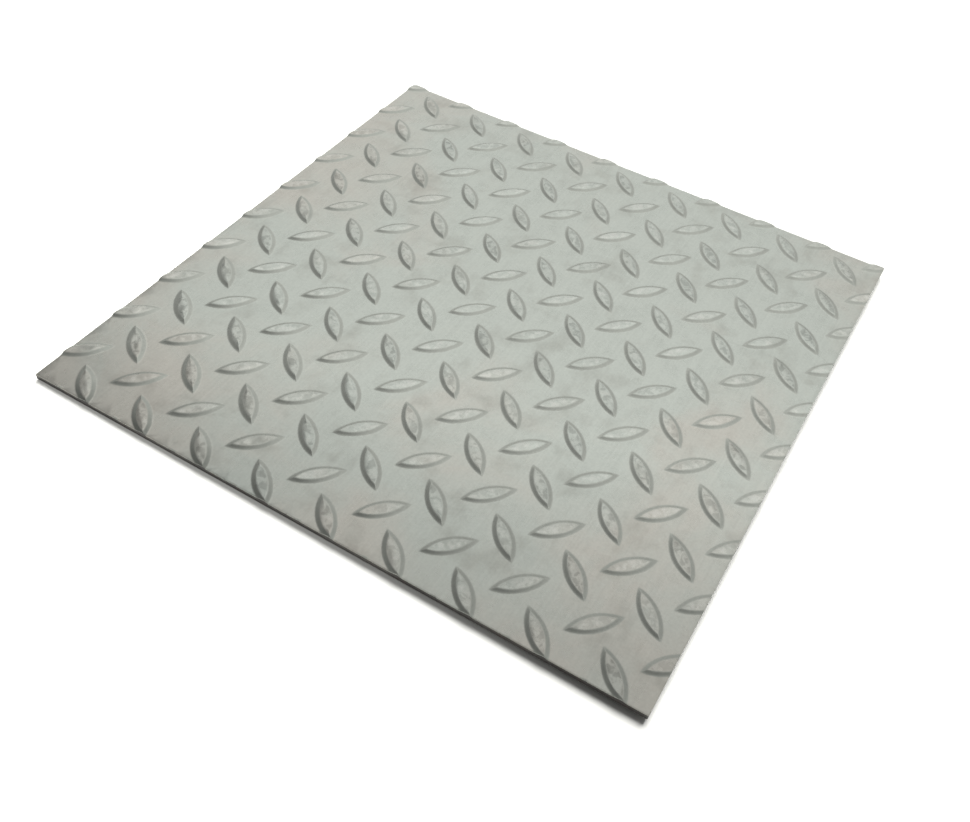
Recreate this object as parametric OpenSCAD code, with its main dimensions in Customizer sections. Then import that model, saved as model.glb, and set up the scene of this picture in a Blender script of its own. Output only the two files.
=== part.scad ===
// Checker plate: one rolled steel plate with raised lens-shaped lugs.
// The lugs stand in two families at right angles, each lug pointing at the
// flanks of its neighbours. The rolled pattern runs on past the plate, and
// the shear cuts straight through the lugs that lie on its edges.
//
// Frame: origin at the middle of the flat underside, +Z up through the lugs,
// X along the front edge and Y away from it. Millimetres.

/* [Plate] */
// Length of the plate, along X
plate_length = 300; // [100:1:1250]
// Width of the plate, along Y
plate_width = 300; // [100:1:2500]
// Thickness of the plate between its lugs
base_thickness = 3; // [2:0.5:12]

/* [Lug] */
// Height of a lug above the plate
lug_height = 1; // [0.8:0.1:2.5]
// Length of a lug at its foot, from point to point
lug_length = 26; // [18:0.5:32]
// Width of a lug at its foot, across its middle
lug_width = 9.3; // [6:0.1:12]
// How far a lug's flanks lean in between foot and crown
flank_run = 2.3; // [0.5:0.1:2.8]
// Angle between a lug and the plate's X edge
lug_angle = 45; // [40:1:50]

/* [Pattern] */
// Spacing along X of the lugs of one family
pitch_x = 32.5; // [30:0.1:40]
// Spacing along Y of the lugs of one family
pitch_y = 30.9; // [30:0.1:40]
// Distance from the plate's left edge to the first falling lug's middle
margin_left = 22.5; // [0:0.1:40]
// Distance from the plate's front edge to the first falling lug's middle
margin_front = 7.4; // [0:0.1:40]

/* [Hidden] */
$fn = 96;
// Depth to which a lug's solid runs down into the plate that it is rolled from
root_depth = 0.5;

// A lug's foot is a lens: the overlap of two equal circles
foot_radius = (lug_length^2 + lug_width^2) / (4 * lug_width);
foot_offset = foot_radius - lug_width / 2;
// The flanks keep one slope, from the root through the foot to the crown
flank_slope = flank_run / lug_height;
crown_radius = foot_radius - flank_run;
root_radius = foot_radius + flank_slope * root_depth;

// Middle of the first falling lug, and how far a lug reaches along X and Y
first_x = margin_left - plate_length / 2;
first_y = margin_front - plate_width / 2;
reach_x = lug_length / 2 * cos(lug_angle);
reach_y = lug_length / 2 * sin(lug_angle);

// Middles of one family's lugs that touch the plate, from any one of them
function lug_middles(x, y) = [
    for (i = [ceil((-plate_length / 2 - reach_x - x) / pitch_x)
              : floor((plate_length / 2 + reach_x - x) / pitch_x)])
        for (j = [ceil((-plate_width / 2 - reach_y - y) / pitch_y)
                  : floor((plate_width / 2 + reach_y - y) / pitch_y)])
            [x + i * pitch_x, y + j * pitch_y]
];

// One lug along X, rooted in the plate: a lens with leaning flanks
module lug() {
    intersection_for (side = [-1, 1])
        translate([0, side * foot_offset, -root_depth])
            cylinder(h = root_depth + lug_height, r1 = root_radius, r2 = crown_radius);
}

// One family: every lug that touches the plate, all turned the same way
module lug_family(x, y, angle) {
    for (middle = lug_middles(x, y))
        translate([middle[0], middle[1], base_thickness])
            rotate(angle)
                lug();
}

// A block of the plate's outline, from its underside up
module outline(height) {
    translate([-plate_length / 2, -plate_width / 2, 0])
        cube([plate_length, plate_width, height]);
}

module checker_plate() {
    color([0.71, 0.72, 0.69])
        union() {
            outline(base_thickness);
            intersection() {
                outline(base_thickness + lug_height);
                union() {
                    lug_family(first_x, first_y, -lug_angle);
                    lug_family(first_x - pitch_x / 2, first_y - pitch_y / 2, lug_angle);
                }
            }
        }
}

checker_plate();
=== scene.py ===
"""Looks of a checker steel plate: one rolled and sheared plate with raised lens-shaped lugs.

The plate lies flat with its lugs up. Geometry Nodes roll the lug pattern out as one sheet,
and mesh code then shears that sheet to the plate's outline and closes its edges and underside.
Lengths are in metres, and MM turns a size in millimetres into them.
"""

import math

import bmesh
import bpy
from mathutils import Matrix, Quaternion, Vector


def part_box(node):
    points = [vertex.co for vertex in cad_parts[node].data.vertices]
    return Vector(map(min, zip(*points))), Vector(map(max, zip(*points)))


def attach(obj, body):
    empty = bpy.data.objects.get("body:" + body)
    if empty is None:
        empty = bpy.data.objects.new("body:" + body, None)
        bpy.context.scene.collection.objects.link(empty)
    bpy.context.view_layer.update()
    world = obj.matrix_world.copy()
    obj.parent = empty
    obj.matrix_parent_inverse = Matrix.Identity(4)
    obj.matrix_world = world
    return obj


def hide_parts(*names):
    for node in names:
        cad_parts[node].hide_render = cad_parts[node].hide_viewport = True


MM = 0.001

# The plate and its rolled pattern
BASE_THICKNESS = 3.0 * MM
LUG_LENGTH = 26.0 * MM
LUG_WIDTH = 9.3 * MM
LUG_ANGLE = math.radians(45.0)
PITCH_X = 32.5 * MM
PITCH_Y = 30.9 * MM
MARGIN_LEFT = 22.5 * MM
MARGIN_FRONT = 7.4 * MM

# A lug's section: a flank that eases out of the plate and over into a slightly domed crown
SIDE_FLANK = 2.3 * MM
TIP_FLANK = 4.0 * MM
CROWN_RISE = 0.28 * MM
CROWN_START = 1.5 * MM
FOOT_MARGIN = 0.35 * MM

# The power that blunts a lug's points, and how far the sides of its cell bend round its neighbours
BLUNTNESS = 1.7
CELL_BEND = 0.28

# Points round a lug, and its rings from the edge of its cell to the middle of its crown
POINTS_ROUND = 40
HOLDING_RING = 1
FOOT_RING = 2
CROWN_RING = 8
MIDDLE_RING = 11

# Points nearer than this become one: those of one cell, then those that two cells share
CELL_WELD = 0.002 * MM
SHEET_WELD = 0.01 * MM

# Sheared edge, from the top down: the metal is drawn over, then burnished, then torn
ROLLED_OVER = 0.3 * MM
ROLL_STEPS = 3
TORN_BELOW = 1.9 * MM
TORN_IN = 0.08 * MM
TEAR_STEP = 0.3 * MM
LOWER_BREAK = 0.1 * MM

# A point this near the cut lies on it, and points this near each other beside it become one
ON_CUT = 0.0001 * MM
SLIVER = 0.03 * MM

# Steel colours, as the eye takes them in white light
COOL_STEEL = "#BCC1B9"
WARM_STEEL = "#BEBCB3"
STAIN = "#8B867C"
FLANK_FILM = "#B0B3AB"
# The crowns' rubbed colour, which is partly a painted highlight
RUBBED = "#D0CFC9"
# The cut edge's colours are near-black partly as painted shade, for a face turned away from the light
BURNISHED = "#282624"
TORN = "#2E2C2A"
DRY_CUT = "#3F3D3A"
EDGE_RUST = "#33261E"
PALE_PAPER = "#90908D"

# Sizes of the steel's patterns, in millimetres as its materials count them
CLOUD = 75
STAIN_PATCH = 20
MOTTLE = 7
GRAIN = 1.1
STREAK_WIDTH = 0.9
STREAK_LENGTH = 45
SCUFF = 3.2
SHEET_WAVE = 22
DENT = 6.5
TEAR = 4
OIL_PATCH = 70
RUST_PATCH = 9
DRAG_WIDTH = 0.4
DRAG_LENGTH = 6
CRUMB = 0.5

# Heights of its relief, in millimetres too
WAVE_HEIGHT = 0.10
GRAIN_HEIGHT = 0.0012
STREAK_HEIGHT = 0.0025
DENT_HEIGHT = 0.7

# Where the acid ran off first, and how far from there the drying was still fast, and then slow
RAN_OFF_FIRST = (20.0, 40.0, 0.0)
FAST_DRYING = 60.0
SLOW_DRYING = 260.0


def linear(hex_colour, alpha=1.0):
    """An sRGB colour such as "#B4B6B0" as the linear RGBA that shaders take."""
    channels = [int(hex_colour[i:i + 2], 16) / 255 for i in (1, 3, 5)]
    curve = [c / 12.92 if c <= 0.04045 else ((c + 0.055) / 1.055) ** 2.4 for c in channels]
    return (*curve, alpha)


def add(tree, kind, inputs=(), **settings):
    """Adds a node with its settings, and fills its inputs in by place or by name.

    An input takes a value, a socket, or a node, whose first output in use it is then joined to.
    """
    node = tree.nodes.new(kind)
    for name, value in settings.items():
        setattr(node, name, value)
    in_use = [socket for socket in node.inputs if socket.enabled]
    for key, value in (inputs.items() if isinstance(inputs, dict) else enumerate(inputs)):
        socket = in_use[key] if isinstance(key, int) else next(s for s in in_use if s.name == key)
        if isinstance(value, bpy.types.Node):
            value = next(s for s in value.outputs if s.enabled)
        if isinstance(value, bpy.types.NodeSocket):
            tree.links.new(value, socket)
        elif value is not None:
            socket.default_value = value
    return node


# ---------------------------------------------------------------- the rolled sheet

def cells_along(first, pitch, half):
    """How many cells of a family cover a side, and the middle of the first of them."""
    low = math.ceil((-half - pitch / 2 - first) / pitch)
    high = math.floor((half + pitch / 2 - first) / pitch)
    return high - low + 1, first + low * pitch


def lug_sheet_tree():
    """The rolled pattern: one lug in its cell, repeated as falling and rising lugs, welded into a sheet."""
    tree = bpy.data.node_groups.new("rolled_lug_sheet", "GeometryNodeTree")
    sizes = ("Lug Length", "Lug Width", "Lug Height", "Base Thickness", "Side Flank", "Tip Flank",
             "Crown Rise", "Crown Start", "Foot Margin", "Pitch X", "Pitch Y")
    for name in sizes:
        tree.interface.new_socket(name, in_out="INPUT", socket_type="NodeSocketFloat")
    for family in ("Falling", "Rising"):
        tree.interface.new_socket(f"{family} Columns", in_out="INPUT", socket_type="NodeSocketInt")
        tree.interface.new_socket(f"{family} Rows", in_out="INPUT", socket_type="NodeSocketInt")
        tree.interface.new_socket(f"{family} First", in_out="INPUT", socket_type="NodeSocketVector")
    tree.interface.new_socket("Steel", in_out="INPUT", socket_type="NodeSocketMaterial")
    tree.interface.new_socket("Sheet", in_out="OUTPUT", socket_type="NodeSocketGeometry")
    size = add(tree, "NodeGroupInput").outputs

    # A grid of one unit: across it the points run round the lug, and up it the rings run inwards
    unit = add(tree, "GeometryNodeMeshGrid", (1.0, 1.0, POINTS_ROUND + 1, MIDDLE_RING + 1))
    place = add(tree, "ShaderNodeSeparateXYZ", (add(tree, "GeometryNodeInputPosition"),)).outputs
    turn = add(tree, "ShaderNodeMath", (place["X"], 0.5), operation="ADD")
    angle = add(tree, "ShaderNodeMath", (turn, math.tau), operation="MULTIPLY")
    ring = add(tree, "ShaderNodeMapRange", (place["Y"], -0.5, 0.5, 0.0, MIDDLE_RING))

    # How far each ring lies in from the foot, with one ring kept just outside it
    half_width = add(tree, "ShaderNodeMath", (size["Lug Width"], 0.5), operation="MULTIPLY")
    crown_half = add(tree, "ShaderNodeMath", (half_width, size["Side Flank"]), operation="SUBTRACT")
    outside = add(tree, "ShaderNodeMapRange", (ring, FOOT_RING, HOLDING_RING, 0.0, size["Foot Margin"]))
    on_flank = add(tree, "ShaderNodeMapRange", (ring, FOOT_RING, CROWN_RING, 0.0, size["Side Flank"]))
    on_crown = add(tree, "ShaderNodeMapRange", (ring, CROWN_RING, MIDDLE_RING, 0.0, crown_half))
    inset = add(tree, "ShaderNodeMath", (on_flank, on_crown), operation="ADD")
    inset = add(tree, "ShaderNodeMath", (inset, outside), operation="SUBTRACT")

    # Height of each ring: the flank eases in and out, and the crown is a shallow dome on it
    flank_top = add(tree, "ShaderNodeMath", (size["Lug Height"], size["Crown Rise"]), operation="SUBTRACT")
    flank_height = add(tree, "ShaderNodeMapRange", (inset, 0.0, size["Side Flank"], 0.0, flank_top),
                       interpolation_type="SMOOTHSTEP")
    from_middle = add(tree, "ShaderNodeMapRange", (inset, size["Crown Start"], half_width, 1.0, 0.0))
    dome = add(tree, "ShaderNodeMath", (from_middle, 2.0), operation="POWER")
    dome = add(tree, "ShaderNodeMath", (1.0, dome), operation="SUBTRACT")
    height = add(tree, "ShaderNodeMath", (dome, size["Crown Rise"], flank_height), operation="MULTIPLY_ADD")
    height = add(tree, "ShaderNodeMath", (height, size["Base Thickness"]), operation="ADD")

    # A ring is a lens: a cosine along the lug, and a sine to a power across it, which leaves blunt points
    along = add(tree, "ShaderNodeMath", (angle,), operation="COSINE")
    wave = add(tree, "ShaderNodeMath", (angle,), operation="SINE")
    wave_size = add(tree, "ShaderNodeMath", (wave,), operation="ABSOLUTE")
    wave_size = add(tree, "ShaderNodeMath", (wave_size, BLUNTNESS), operation="POWER")
    across = add(tree, "ShaderNodeMath", (wave,), operation="SIGN")
    across = add(tree, "ShaderNodeMath", (across, wave_size), operation="MULTIPLY")
    tip_ratio = add(tree, "ShaderNodeMath", (size["Tip Flank"], size["Side Flank"]), operation="DIVIDE")
    half_length = add(tree, "ShaderNodeMath", (size["Lug Length"], 0.5), operation="MULTIPLY")
    tip_inset = add(tree, "ShaderNodeMath", (inset, tip_ratio), operation="MULTIPLY")
    ring_length = add(tree, "ShaderNodeMath", (half_length, tip_inset), operation="SUBTRACT")
    ring_width = add(tree, "ShaderNodeMath", (half_width, inset), operation="SUBTRACT")
    lens_x = add(tree, "ShaderNodeMath", (along, ring_length), operation="MULTIPLY")
    lens_y = add(tree, "ShaderNodeMath", (across, ring_width), operation="MULTIPLY")
    lens = add(tree, "ShaderNodeCombineXYZ", (lens_x, lens_y, height))
    lens = add(tree, "ShaderNodeVectorRotate", {"Vector": lens, "Angle": -LUG_ANGLE},
               rotation_type="Z_AXIS")

    # The cell's edge is a diamond between the four nearest lugs of its own family. Its sides bend away
    # from the lug's points and in towards its flanks, so the cells of both families share every side
    quarter = add(tree, "ShaderNodeMath", (turn, 4.0, -0.5), operation="MULTIPLY_ADD")
    fall = add(tree, "ShaderNodeMath", (quarter, 2.0), operation="PINGPONG")
    diamond_x = add(tree, "ShaderNodeMath", (1.0, fall), operation="SUBTRACT")
    later = add(tree, "ShaderNodeMath", (quarter, 1.0), operation="SUBTRACT")
    rise = add(tree, "ShaderNodeMath", (later, 2.0), operation="PINGPONG")
    diamond_y = add(tree, "ShaderNodeMath", (1.0, rise), operation="SUBTRACT")
    diamond = add(tree, "ShaderNodeCombineXYZ", (diamond_x, diamond_y, 0.0))
    swapped = add(tree, "ShaderNodeCombineXYZ", (diamond_y, diamond_x, 0.0))
    size_x = add(tree, "ShaderNodeMath", (diamond_x,), operation="ABSOLUTE")
    size_y = add(tree, "ShaderNodeMath", (diamond_y,), operation="ABSOLUTE")
    bend = add(tree, "ShaderNodeMath", (size_x, size_y), operation="MINIMUM")
    bend = add(tree, "ShaderNodeMath", (bend, -CELL_BEND), operation="MULTIPLY")
    bent = add(tree, "ShaderNodeVectorMath", (swapped,), operation="SIGN")
    bent = add(tree, "ShaderNodeVectorMath", {0: bent, "Scale": bend}, operation="SCALE")
    bent = add(tree, "ShaderNodeVectorMath", (diamond, bent), operation="ADD")
    half_x = add(tree, "ShaderNodeMath", (size["Pitch X"], 0.5), operation="MULTIPLY")
    half_y = add(tree, "ShaderNodeMath", (size["Pitch Y"], 0.5), operation="MULTIPLY")
    half_cell = add(tree, "ShaderNodeCombineXYZ", (half_x, half_y, 1.0))
    floor_height = add(tree, "ShaderNodeCombineXYZ", (0.0, 0.0, size["Base Thickness"]))
    edge = add(tree, "ShaderNodeVectorMath", (bent, half_cell, floor_height), operation="MULTIPLY_ADD")

    on_edge = add(tree, "ShaderNodeMath", (ring, HOLDING_RING / 2), operation="LESS_THAN")
    point = add(tree, "GeometryNodeSwitch", (on_edge, lens, edge), input_type="VECTOR")

    # The zone runs from 0 at a lug's foot through 1 at the edge of its crown to 2 at its middle
    up_flank = add(tree, "ShaderNodeMapRange", (inset, 0.0, size["Side Flank"], 0.0, 1.0))
    over_crown = add(tree, "ShaderNodeMapRange", (inset, size["Side Flank"], half_width, 0.0, 1.0))
    lug_zone = add(tree, "ShaderNodeMath", (up_flank, over_crown), operation="ADD")
    marked = add(tree, "GeometryNodeStoreNamedAttribute",
                 {"Geometry": unit, "Name": "lug_zone", "Value": lug_zone},
                 data_type="FLOAT", domain="POINT")
    cell = add(tree, "GeometryNodeSetPosition", {"Geometry": marked, "Position": point})
    cell = add(tree, "GeometryNodeMergeByDistance", {"Geometry": cell, "Distance": CELL_WELD})

    # Each lug draws its wear, which also sets its painted crown shading: the falling family from the lower
    # half, the rising one from the upper
    sheet = add(tree, "GeometryNodeJoinGeometry")
    for family, mirrored, least_worn, most_worn, seed in (("Falling", False, 0.0, 0.5, 3),
                                                          ("Rising", True, 0.5, 1.0, 7)):
        lug_cell = cell
        if mirrored:
            lug_cell = add(tree, "GeometryNodeTransform", {"Geometry": cell, "Scale": (1.0, -1.0, 1.0)})
            lug_cell = add(tree, "GeometryNodeFlipFaces", {"Mesh": lug_cell})
        last_column = add(tree, "ShaderNodeMath", (size[f"{family} Columns"], 1.0), operation="SUBTRACT")
        last_row = add(tree, "ShaderNodeMath", (size[f"{family} Rows"], 1.0), operation="SUBTRACT")
        span_x = add(tree, "ShaderNodeMath", (last_column, size["Pitch X"]), operation="MULTIPLY")
        span_y = add(tree, "ShaderNodeMath", (last_row, size["Pitch Y"]), operation="MULTIPLY")
        middles = add(tree, "GeometryNodeMeshGrid",
                      (span_x, span_y, size[f"{family} Columns"], size[f"{family} Rows"]))
        half_span = add(tree, "ShaderNodeCombineXYZ", (span_x, span_y, 0.0))
        to_first = add(tree, "ShaderNodeVectorMath", (half_span, (0.5, 0.5, 0.0), size[f"{family} First"]),
                       operation="MULTIPLY_ADD")
        middles = add(tree, "GeometryNodeSetPosition", {"Geometry": middles, "Offset": to_first})
        lugs = add(tree, "GeometryNodeInstanceOnPoints", {"Points": middles, "Instance": lug_cell})
        wear = add(tree, "FunctionNodeRandomValue",
                   {"Min": least_worn, "Max": most_worn, "Seed": seed}, data_type="FLOAT")
        lugs = add(tree, "GeometryNodeStoreNamedAttribute",
                   {"Geometry": lugs, "Name": "lug_wear", "Value": wear},
                   data_type="FLOAT", domain="INSTANCE")
        tree.links.new(lugs.outputs[0], sheet.inputs[0])
    sheet = add(tree, "GeometryNodeRealizeInstances", (sheet,))
    sheet = add(tree, "GeometryNodeMergeByDistance", {"Geometry": sheet, "Distance": SHEET_WELD})
    sheet = add(tree, "GeometryNodeSetMaterial", {"Geometry": sheet, "Material": size["Steel"]})
    add(tree, "NodeGroupOutput", (sheet,))
    return tree


def rolled_sheet(lug_height, half_x, half_y, steel):
    """The rolled sheet as a plain mesh that covers the plate's outline all round."""
    tree = lug_sheet_tree()
    first_x = MARGIN_LEFT - half_x
    first_y = MARGIN_FRONT - half_y
    values = {"Lug Length": LUG_LENGTH, "Lug Width": LUG_WIDTH, "Lug Height": lug_height,
              "Base Thickness": BASE_THICKNESS, "Side Flank": SIDE_FLANK, "Tip Flank": TIP_FLANK,
              "Crown Rise": CROWN_RISE, "Crown Start": CROWN_START, "Foot Margin": FOOT_MARGIN,
              "Pitch X": PITCH_X, "Pitch Y": PITCH_Y, "Steel": steel}
    for family, shift in (("Falling", 0.0), ("Rising", 0.5)):
        columns, start_x = cells_along(first_x - shift * PITCH_X, PITCH_X, half_x)
        rows, start_y = cells_along(first_y - shift * PITCH_Y, PITCH_Y, half_y)
        values[f"{family} Columns"] = columns
        values[f"{family} Rows"] = rows
        values[f"{family} First"] = (start_x, start_y, 0.0)
    holder = bpy.data.objects.new("rolling", bpy.data.meshes.new("rolling"))
    bpy.context.scene.collection.objects.link(holder)
    modifier = holder.modifiers.new("rolled_lug_sheet", "NODES")
    modifier.node_group = tree
    for item in tree.interface.items_tree:
        if item.item_type == "SOCKET" and item.in_out == "INPUT":
            modifier[item.identifier] = values[item.name]
    evaluated = holder.evaluated_get(bpy.context.evaluated_depsgraph_get())
    mesh = bpy.data.meshes.new_from_object(evaluated)
    holder.modifiers.clear()
    bpy.data.objects.remove(holder)
    return mesh


# ---------------------------------------------------------------- shearing the sheet to the plate

def outward(point, half_x, half_y):
    """The way out of the plate at a point of its cut edge: along X, along Y, or both at a corner."""
    near = 2 * ROLLED_OVER
    step_x = math.copysign(1.0, point.x) if abs(point.x) > half_x - near else 0.0
    step_y = math.copysign(1.0, point.y) if abs(point.y) > half_y - near else 0.0
    return Vector((step_x, step_y, 0.0))


def drop_slivers(bm):
    """Draws points that lie almost on the cut edge, or on each other along it, together."""
    on_edge = [vert for vert in bm.verts if vert.is_boundary]
    inside = [vert for vert in bm.verts if not vert.is_boundary]
    near = bmesh.ops.find_doubles(bm, verts=inside, keep_verts=on_edge, dist=SLIVER)["targetmap"]
    bmesh.ops.weld_verts(bm, targetmap=near)
    bmesh.ops.remove_doubles(bm, verts=[vert for vert in bm.verts if vert.is_boundary], dist=SLIVER)


def sheared_plate(sheet, half_x, half_y, steel, edge_steel):
    """Cuts the sheet to the plate's outline, and gives it sheared edges and a plain underside."""
    bm = bmesh.new()
    bm.from_mesh(sheet)
    cut_x = half_x - ROLLED_OVER
    cut_y = half_y - ROLLED_OVER
    for corner, normal in (((cut_x, 0, 0), (1, 0, 0)), ((-cut_x, 0, 0), (-1, 0, 0)),
                           ((0, cut_y, 0), (0, 1, 0)), ((0, -cut_y, 0), (0, -1, 0))):
        bmesh.ops.bisect_plane(bm, geom=[*bm.verts, *bm.edges, *bm.faces], dist=ON_CUT,
                               plane_co=corner, plane_no=normal, clear_outer=True)
    drop_slivers(bm)
    for face in bm.faces:
        face.smooth = True
        face.material_index = 0

    # The shear draws the top edge over in a quarter round, then goes straight down. A row says how far
    # out it lies, and how far it has dropped while it goes over, or how high it lies on the way down
    turns = [math.pi / 2 * i / ROLL_STEPS for i in range(1, ROLL_STEPS + 1)]
    rows = [("over", math.sin(turn) * ROLLED_OVER, (1 - math.cos(turn)) * ROLLED_OVER) for turn in turns]
    rows += [("down", ROLLED_OVER, TORN_BELOW),
             ("down", ROLLED_OVER - TORN_IN, TORN_BELOW - TEAR_STEP),
             ("down", ROLLED_OVER - TORN_IN, LOWER_BREAK),
             ("down", ROLLED_OVER - 2 * TORN_IN, 0.0)]
    loop = [edge for edge in bm.edges if edge.is_boundary]
    out_before = 0.0
    drop_before = 0.0
    for way, out, level in rows:
        grown = bmesh.ops.extrude_edge_only(bm, edges=loop)["geom"]
        loop = [item for item in grown if isinstance(item, bmesh.types.BMEdge) and item.is_boundary]
        for face in (item for item in grown if isinstance(item, bmesh.types.BMFace)):
            face.smooth = True
            # What is drawn over keeps its mill face, and only what is cut is the darker edge steel
            face.material_index = 0 if way == "over" else 1
        for vert in (item for item in grown if isinstance(item, bmesh.types.BMVert)):
            vert.co += outward(vert.co, half_x, half_y) * (out - out_before)
            vert.co.z = vert.co.z - (level - drop_before) if way == "over" else level
        out_before = out
        drop_before = level if way == "over" else 0.0
    under = bmesh.ops.edgeloop_fill(bm, edges=loop)["faces"]
    for face in under:
        face.smooth = False
        for edge in face.edges:
            edge.smooth = False
    bmesh.ops.recalc_face_normals(bm, faces=bm.faces)
    mesh = bpy.data.meshes.new("rolled_plate")
    mesh.materials.append(steel)
    mesh.materials.append(edge_steel)
    bm.to_mesh(mesh)
    bm.free()
    return mesh


# ---------------------------------------------------------------- steel

def millimetres(tree):
    """Object coordinates in millimetres, so that a texture's scale is one over the size of its pattern."""
    place = add(tree, "ShaderNodeTexCoord").outputs["Object"]
    return add(tree, "ShaderNodeMapping", {"Vector": place, "Scale": (1 / MM, 1 / MM, 1 / MM)})


def mill_steel(half_x, half_y):
    """Hot-rolled mild steel, pickled and lightly skin-passed.

    That gives the eye a satin grey with no mill scale on it: cool where the acid ran off, warmer and
    clouded where it dried slowly, a little darker on the flanks that the skin-pass roll doesn't reach,
    and on the crowns rubbed bright in some patches and dull in others. Painted shade darkens it towards
    its front right corner, and the crowns' bright and dull patches are partly painted highlight and shade.
    """
    material = bpy.data.materials.new("pickled_rolled_steel")
    material.use_nodes = True
    tree = material.node_tree
    tree.nodes.clear()
    place = millimetres(tree)
    zone = add(tree, "ShaderNodeAttribute", attribute_name="lug_zone").outputs["Fac"]
    wear = add(tree, "ShaderNodeAttribute", attribute_name="lug_wear").outputs["Fac"]
    along = add(tree, "ShaderNodeSeparateXYZ", (place,)).outputs
    front = -half_y / MM
    left = -half_x / MM

    # Clouds from the cool grey to the warm one, warmer towards the edges, where the acid dried slowly
    clouds = add(tree, "ShaderNodeTexNoise",
                 {"Vector": place, "Scale": 1 / CLOUD, "Detail": 5.0, "Roughness": 0.6, "Distortion": 0.4})
    ran_off = add(tree, "ShaderNodeVectorMath", (place, RAN_OFF_FIRST), operation="DISTANCE")
    slow_drying = add(tree, "ShaderNodeMapRange",
                      (ran_off.outputs["Value"], FAST_DRYING, SLOW_DRYING, -0.08, 0.16))
    warm = add(tree, "ShaderNodeMath", (clouds, 0.7, slow_drying), operation="MULTIPLY_ADD")
    warm = add(tree, "ShaderNodeMapRange", (warm, 0.30, 0.50, 0.0, 1.0), interpolation_type="SMOOTHSTEP")
    colour = add(tree, "ShaderNodeMix", {"Factor": warm, "A": linear(COOL_STEEL), "B": linear(WARM_STEEL)},
                 data_type="RGBA")

    # Brown water stains with broken edges
    stain = add(tree, "ShaderNodeTexNoise",
                {"Vector": place, "Scale": 1 / STAIN_PATCH, "Detail": 4.0, "Roughness": 0.6,
                 "Distortion": 0.2})
    stain = add(tree, "ShaderNodeMapRange", (stain, 0.50, 0.72, 0.0, 0.20),
                interpolation_type="SMOOTHSTEP")
    colour = add(tree, "ShaderNodeMix", {"Factor": stain, "A": colour, "B": linear(STAIN)},
                 data_type="RGBA")

    # Mottling, the grain of the pickled face, and streaks left along Y by the roll's grinding. The real
    # grain is finer than a millimetre, and is drawn this coarse to show
    mottle = add(tree, "ShaderNodeTexNoise",
                 {"Vector": place, "Scale": 1 / MOTTLE, "Detail": 4.0, "Roughness": 0.6})
    mottled = add(tree, "ShaderNodeMapRange", (mottle, 0.3, 0.7, 0.94, 1.06))
    grain = add(tree, "ShaderNodeTexNoise",
                {"Vector": place, "Scale": 1 / GRAIN, "Detail": 2.0, "Roughness": 0.6})
    grained = add(tree, "ShaderNodeMapRange", (grain, 0.3, 0.7, 0.96, 1.04))
    drawn_out = add(tree, "ShaderNodeMapping",
                    {"Vector": place, "Scale": (1 / STREAK_WIDTH, 1 / STREAK_LENGTH, 1 / STREAK_WIDTH)})
    streak = add(tree, "ShaderNodeTexNoise",
                 {"Vector": drawn_out, "Scale": 1.0, "Detail": 2.0, "Roughness": 0.5})
    streaked = add(tree, "ShaderNodeMapRange", (streak, 0.3, 0.7, 0.975, 1.025))
    shade = add(tree, "ShaderNodeMath", (mottled, grained), operation="MULTIPLY")
    shade = add(tree, "ShaderNodeMath", (shade, streaked), operation="MULTIPLY")

    # Painted shade: the plate is darkened towards its front right corner, where less light falls, with a
    # cloudy border
    inwards = add(tree, "ShaderNodeVectorMath", (place, (-0.25, 1.0, 0.0)), operation="DOT_PRODUCT")
    inwards = add(tree, "ShaderNodeMath", (clouds, 60.0, inwards.outputs["Value"]),
                  operation="MULTIPLY_ADD")
    handled = add(tree, "ShaderNodeMapRange", (inwards, front, front + 115.0, 0.66, 1.0))
    shade = add(tree, "ShaderNodeMath", (shade, handled), operation="MULTIPLY")

    # Up a flank the oxide film stays, and it ends ragged at the edge of the crown
    ragged = add(tree, "ShaderNodeMath", (mottle, 0.5, zone), operation="MULTIPLY_ADD")
    onto_flank = add(tree, "ShaderNodeMapRange", (ragged, 0.25, 0.55, 0.0, 1.0),
                     interpolation_type="SMOOTHSTEP")
    off_flank = add(tree, "ShaderNodeMapRange", (ragged, 1.0, 1.4, 1.0, 0.0),
                    interpolation_type="SMOOTHSTEP")
    filmed = add(tree, "ShaderNodeMath", (onto_flank, off_flank), operation="MULTIPLY")
    colour = add(tree, "ShaderNodeMix", {"Factor": filmed, "A": colour, "B": linear(FLANK_FILM)},
                 data_type="RGBA")

    # Grime has settled on the falling lugs where they run down to the front edge, most of it at the left
    at_front = add(tree, "ShaderNodeMapRange", (along["Y"], front + 2.0, front + 12.0, -0.40, 0.0))
    at_left = add(tree, "ShaderNodeMapRange", (along["X"], left + 80.0, left + 180.0, 1.0, 0.0))
    falling = add(tree, "ShaderNodeMath", (wear, 0.5), operation="LESS_THAN")
    settled = add(tree, "ShaderNodeMath", (at_front, at_left), operation="MULTIPLY")
    settled = add(tree, "ShaderNodeMath", (settled, falling), operation="MULTIPLY")
    settled = add(tree, "ShaderNodeMath", (settled, filmed, 1.0), operation="MULTIPLY_ADD")
    shade = add(tree, "ShaderNodeMath", (shade, settled), operation="MULTIPLY")

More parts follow.
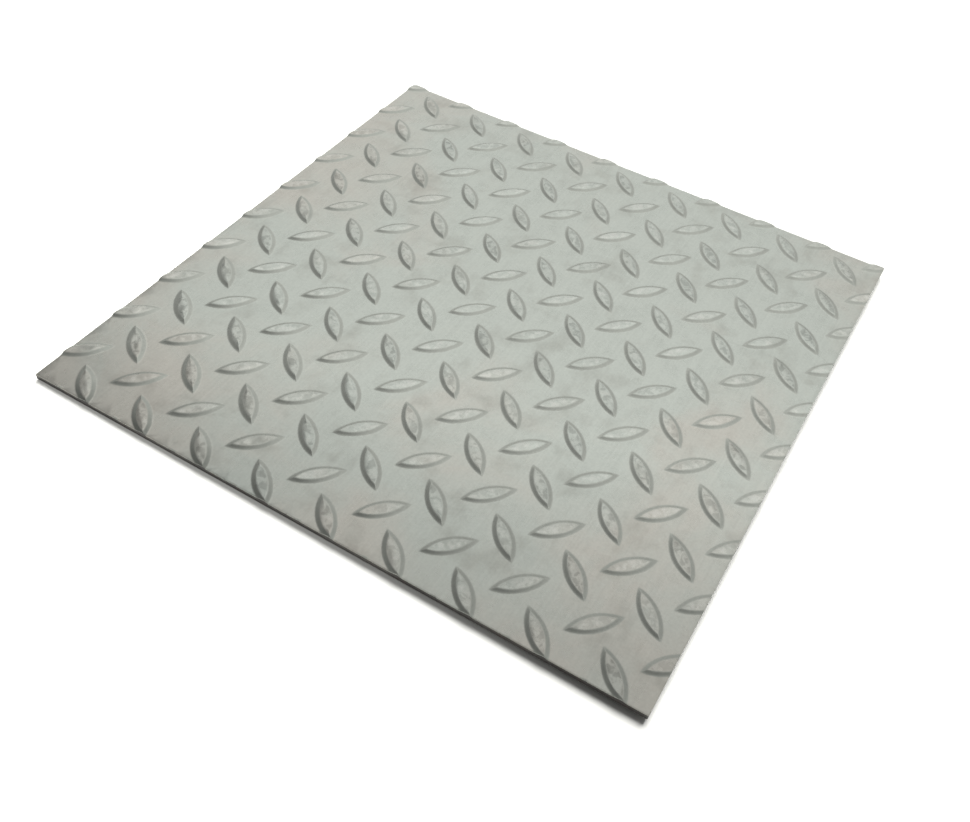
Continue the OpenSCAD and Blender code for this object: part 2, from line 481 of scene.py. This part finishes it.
    # Crowns that wear the least keep dull patches, and are a little darker all over. Part of this darkening
    # is painted shade, for crowns tilted away from the light
    scuffs = add(tree, "ShaderNodeTexNoise",
                 {"Vector": place, "Scale": 1 / SCUFF, "Detail": 3.0, "Roughness": 0.55, "Distortion": 0.6})
    on_crown = add(tree, "ShaderNodeMapRange", (zone, 1.0, 1.2, 0.0, 1.0))
    all_over = add(tree, "ShaderNodeMapRange", (wear, 0.0, 1.0, -0.07, 0.05))
    in_patches = add(tree, "ShaderNodeMapRange", (wear, 0.0, 1.0, -0.26, 0.0))
    patch = add(tree, "ShaderNodeMapRange", (scuffs, 0.40, 0.54, 1.0, 0.0),
                interpolation_type="SMOOTHSTEP")
    crown_shade = add(tree, "ShaderNodeMath", (patch, in_patches, all_over), operation="MULTIPLY_ADD")
    crown_shade = add(tree, "ShaderNodeMath", (crown_shade, on_crown, 1.0), operation="MULTIPLY_ADD")
    shade = add(tree, "ShaderNodeMath", (shade, crown_shade), operation="MULTIPLY")

    # Scuffs rub a crown bright, and the more it wears the more of it they cover. The brightening is partly
    # a painted highlight, for crowns that catch the light
    rubbed = add(tree, "ShaderNodeMath", (wear, 0.16, scuffs), operation="MULTIPLY_ADD")
    rubbed = add(tree, "ShaderNodeMapRange", (rubbed, 0.56, 0.80, 0.0, 1.0),
                 interpolation_type="SMOOTHSTEP")
    rubbed = add(tree, "ShaderNodeMath", (rubbed, on_crown), operation="MULTIPLY")
    bright = add(tree, "ShaderNodeMath", (rubbed, 0.35), operation="MULTIPLY")
    colour = add(tree, "ShaderNodeMix", {"Factor": bright, "A": colour, "B": linear(RUBBED)},
                 data_type="RGBA")
    colour = add(tree, "ShaderNodeHueSaturation", {"Value": shade, "Color": colour})

    # Satin where it was pickled, duller in the stains and on the flanks, smoother where it is rubbed
    rough = add(tree, "ShaderNodeMapRange", (mottle, 0.3, 0.7, 0.25, 0.33))
    rough = add(tree, "ShaderNodeMath", (stain, 0.35, rough), operation="MULTIPLY_ADD")
    rough = add(tree, "ShaderNodeMath", (filmed, 0.10, rough), operation="MULTIPLY_ADD")
    rough = add(tree, "ShaderNodeMath", (rubbed, -0.08, rough), operation="MULTIPLY_ADD")

    # Relief: a slow wave of the sheet, the pickled grain, the grinding streaks, and dents on the crowns
    wave = add(tree, "ShaderNodeTexNoise", {"Vector": place, "Scale": 1 / SHEET_WAVE, "Detail": 1.0})
    height = add(tree, "ShaderNodeMath", (wave, WAVE_HEIGHT), operation="MULTIPLY")
    height = add(tree, "ShaderNodeMath", (grain, GRAIN_HEIGHT, height), operation="MULTIPLY_ADD")
    height = add(tree, "ShaderNodeMath", (streak, STREAK_HEIGHT, height), operation="MULTIPLY_ADD")
    dent = add(tree, "ShaderNodeTexNoise", {"Vector": place, "Scale": 1 / DENT, "Detail": 0.0})
    dent = add(tree, "ShaderNodeMath", (dent, 0.5), operation="SUBTRACT")
    dented = add(tree, "ShaderNodeMapRange", (zone, 0.8, 1.8, 0.0, DENT_HEIGHT),
                 interpolation_type="SMOOTHSTEP")
    height = add(tree, "ShaderNodeMath", (dent, dented, height), operation="MULTIPLY_ADD")
    relief = add(tree, "ShaderNodeBump", {"Height": height, "Strength": 1.0, "Distance": MM})

    shader = add(tree, "ShaderNodeBsdfPrincipled",
                 {"Base Color": colour, "Metallic": 1.0, "Roughness": rough, "Normal": relief})
    add(tree, "ShaderNodeOutputMaterial", (shader,))
    return material


def sheared_steel():
    """The shear's cut through the plate, darkened by its oil and by oxide, and drawn near-black as painted
    shade, since it faces away from the light.

    That gives the eye a near-black band, smooth above where the blade burnished it and
    a little paler and broken below where the metal tore, with paler dry lengths and traces of rust.
    """
    material = bpy.data.materials.new("oxidised_sheared_steel")
    material.use_nodes = True
    tree = material.node_tree
    tree.nodes.clear()
    place = millimetres(tree)
    height_above = add(tree, "ShaderNodeSeparateXYZ", (place,)).outputs["Z"]

    # The tear starts raggedly, about 1 to 1.6 mm up
    ragged = add(tree, "ShaderNodeTexNoise",
                 {"Vector": place, "Scale": 1 / TEAR, "Detail": 4.0, "Roughness": 0.65})
    border = add(tree, "ShaderNodeMath", (ragged, 1.2, height_above), operation="MULTIPLY_ADD")
    torn = add(tree, "ShaderNodeMapRange", (border, 1.6, 2.1, 1.0, 0.0), interpolation_type="SMOOTHSTEP")
    colour = add(tree, "ShaderNodeMix", {"Factor": torn, "A": linear(BURNISHED), "B": linear(TORN)},
                 data_type="RGBA")

    # The oil has dried off in long patches, and rust has started in short ones
    oil = add(tree, "ShaderNodeTexNoise", {"Vector": place, "Scale": 1 / OIL_PATCH, "Detail": 3.0})
    dry = add(tree, "ShaderNodeMapRange", (oil, 0.45, 0.60, 0.0, 0.7), interpolation_type="SMOOTHSTEP")
    colour = add(tree, "ShaderNodeMix", {"Factor": dry, "A": colour, "B": linear(DRY_CUT)},
                 data_type="RGBA")
    rust = add(tree, "ShaderNodeTexNoise",
               {"Vector": place, "Scale": 1 / RUST_PATCH, "Detail": 5.0, "Roughness": 0.7})
    rust = add(tree, "ShaderNodeMapRange", (rust, 0.52, 0.72, 0.0, 0.6))
    colour = add(tree, "ShaderNodeMix", {"Factor": rust, "A": colour, "B": linear(EDGE_RUST)},
                 data_type="RGBA")

    # Drag lines of the blade run down the burnished band, and the tear is coarse
    upright = add(tree, "ShaderNodeMapping",
                  {"Vector": place, "Scale": (1 / DRAG_WIDTH, 1 / DRAG_WIDTH, 1 / DRAG_LENGTH)})
    drag = add(tree, "ShaderNodeTexNoise", {"Vector": upright, "Scale": 1.0, "Detail": 2.0})
    crumb = add(tree, "ShaderNodeTexNoise",
                {"Vector": place, "Scale": 1 / CRUMB, "Detail": 3.0, "Roughness": 0.7})
    relief = add(tree, "ShaderNodeMix", {"Factor": torn, "A": drag, "B": crumb}, data_type="FLOAT")
    relief_depth = 0.05 * MM
    relief = add(tree, "ShaderNodeBump", {"Height": relief, "Strength": 1.0, "Distance": relief_depth})
    rough = add(tree, "ShaderNodeMapRange", (torn, 0.0, 1.0, 0.42, 0.75))
    shader = add(tree, "ShaderNodeBsdfPrincipled",
                 {"Base Color": colour, "Metallic": 0.0, "Roughness": rough, "Specular IOR Level": 0.3,
                  "Normal": relief})
    add(tree, "ShaderNodeOutputMaterial", (shader,))
    return material


# ---------------------------------------------------------------- stage

def stage_floor():
    """A wide sheet of pale paper that slopes down to the right.

    It lies about 0.5 mm under the plate's left edge and 2.4 mm under its right one, so the plate's
    shadow widens that way.
    """
    half = 4.0
    gap = 0.05 * MM
    drop = 1.40 * MM
    slope = math.radians(0.36)
    corners = [(-half, -half, -gap), (half, -half, -gap), (half, half, -gap), (-half, half, -gap)]
    mesh = bpy.data.meshes.new("paper_floor")
    mesh.from_pydata(corners, [], [(0, 1, 2, 3)])
    floor = bpy.data.objects.new("paper_floor", mesh)
    bpy.context.scene.collection.objects.link(floor)
    material = bpy.data.materials.new("pale_paper")
    material.use_nodes = True
    tree = material.node_tree
    tree.nodes.clear()
    shader = add(tree, "ShaderNodeBsdfPrincipled",
                 {"Base Color": linear(PALE_PAPER), "Roughness": 0.9, "Specular IOR Level": 0.0})
    add(tree, "ShaderNodeOutputMaterial", (shader,))
    mesh.materials.append(material)
    floor.rotation_euler = (0.0, slope, 0.0)
    floor.location.z = -drop


def studio_light():
    """A pale studio, brightest overhead and behind the plate, with two lamps for the paper.

    The lamps aren't mirrored in bare steel, so only the paper and the dark cut edge show them.
    """
    world = bpy.data.worlds.new("studio")
    world.use_nodes = True
    tree = world.node_tree
    tree.nodes.clear()
    way = add(tree, "ShaderNodeTexCoord").outputs["Generated"]
    up = add(tree, "ShaderNodeSeparateXYZ", (way,)).outputs["Z"]
    strength = add(tree, "ShaderNodeMapRange", (up, 0.55, 0.90, 0.98, 1.13))

    # The light fades towards the front left, the front right, the front and the back right
    for towards, start, end, dimmest in (((-0.71, -0.71, 0.0), 0.06, 0.28, 0.43),
                                         ((0.71, -0.71, 0.0), 0.16, 0.75, 0.30),
                                         ((0.0, -1.0, 0.0), -0.07, 0.33, 0.45),
                                         ((0.71, 0.71, 0.0), 0.42, 0.75, 0.82)):
        reach = add(tree, "ShaderNodeVectorMath", (way, towards), operation="DOT_PRODUCT")
        fade = add(tree, "ShaderNodeMapRange", (reach.outputs["Value"], start, end, 1.0, dimmest),
                   interpolation_type="SMOOTHSTEP")
        strength = add(tree, "ShaderNodeMath", (strength, fade), operation="MULTIPLY")

    # It never falls below a low glow, stronger near the ground. The wall itself is seen pale and even
    lowest = add(tree, "ShaderNodeMapRange", (up, 0.1, 0.75, 0.65, 0.20), interpolation_type="SMOOTHSTEP")
    strength = add(tree, "ShaderNodeMath", (strength, lowest), operation="MAXIMUM")
    wall = 0.9
    looked_at = add(tree, "ShaderNodeLightPath").outputs["Is Camera Ray"]
    strength = add(tree, "ShaderNodeMix", {"Factor": looked_at, "A": strength, "B": wall},
                   data_type="FLOAT")
    background = add(tree, "ShaderNodeBackground", {"Color": linear("#FFFFFF"), "Strength": strength})
    add(tree, "ShaderNodeOutputWorld", (background,))
    bpy.context.scene.world = world

    # A wide soft sun from behind washes the paper, and leaves the shadow along the front edge
    sun = bpy.data.lights.new("paper_wash", "SUN")
    sun.energy = 15.7
    sun.angle = math.radians(44)
    lamp = bpy.data.objects.new("paper_wash", sun)
    lamp.rotation_euler = Vector((-0.04, 0.515, 0.856)).to_track_quat("Z", "Y").to_euler()
    lamp.visible_glossy = False
    bpy.context.scene.collection.objects.link(lamp)

    # A narrow lamp in front on the left lifts the shadow at that end
    fill = bpy.data.lights.new("front_fill", "SPOT")
    fill.energy = 36.0
    fill.spot_size = math.radians(22)
    fill.spot_blend = 0.7
    fill.shadow_soft_size = 0.08
    lamp = bpy.data.objects.new("front_fill", fill)
    lamp.location = (-0.25, -0.60, 0.90)
    aim = Vector((-0.10, -0.155, 0.0))
    lamp.rotation_euler = (lamp.location - aim).to_track_quat("Z", "Y").to_euler()
    lamp.visible_glossy = False
    bpy.context.scene.collection.objects.link(lamp)


def camera():
    """A slightly wide view from the front and right, looking well down on the plate, rolled a little."""
    lens = bpy.data.cameras.new("camera")
    lens.lens = 38.5
    lens.sensor_width = 36.0
    lens.sensor_fit = "HORIZONTAL"
    lens.shift_x = -0.0217
    eye = bpy.data.objects.new("camera", lens)
    eye.location = Vector((167.3, -333.8, 346.4)) * MM
    aim = Vector((33.6, -51.8, 3.0)) * MM
    level = (eye.location - aim).to_track_quat("Z", "Y")
    rolled = Quaternion((0.0, 0.0, 1.0), math.radians(6.545))
    eye.rotation_mode = "QUATERNION"
    eye.rotation_quaternion = level @ rolled
    bpy.context.scene.collection.objects.link(eye)
    bpy.context.scene.camera = eye


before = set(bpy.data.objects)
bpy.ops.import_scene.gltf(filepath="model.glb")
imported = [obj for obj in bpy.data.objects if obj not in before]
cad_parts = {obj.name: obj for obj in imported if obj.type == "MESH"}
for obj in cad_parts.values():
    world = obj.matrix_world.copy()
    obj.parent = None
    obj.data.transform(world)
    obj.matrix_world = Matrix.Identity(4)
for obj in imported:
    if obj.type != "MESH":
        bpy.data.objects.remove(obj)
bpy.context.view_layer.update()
low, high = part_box("checker_plate")
half_x = (high.x - low.x) / 2
half_y = (high.y - low.y) / 2

bpy.context.scene.view_settings.view_transform = "Standard"
camera()
studio_light()
stage_floor()

steel = mill_steel(half_x, half_y)
sheet = rolled_sheet(high.z - BASE_THICKNESS, half_x, half_y, steel)
plate = bpy.data.objects.new("rolled_plate", sheared_plate(sheet, half_x, half_y, steel, sheared_steel()))
bpy.context.scene.collection.objects.link(plate)
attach(plate, "root")
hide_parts("checker_plate")
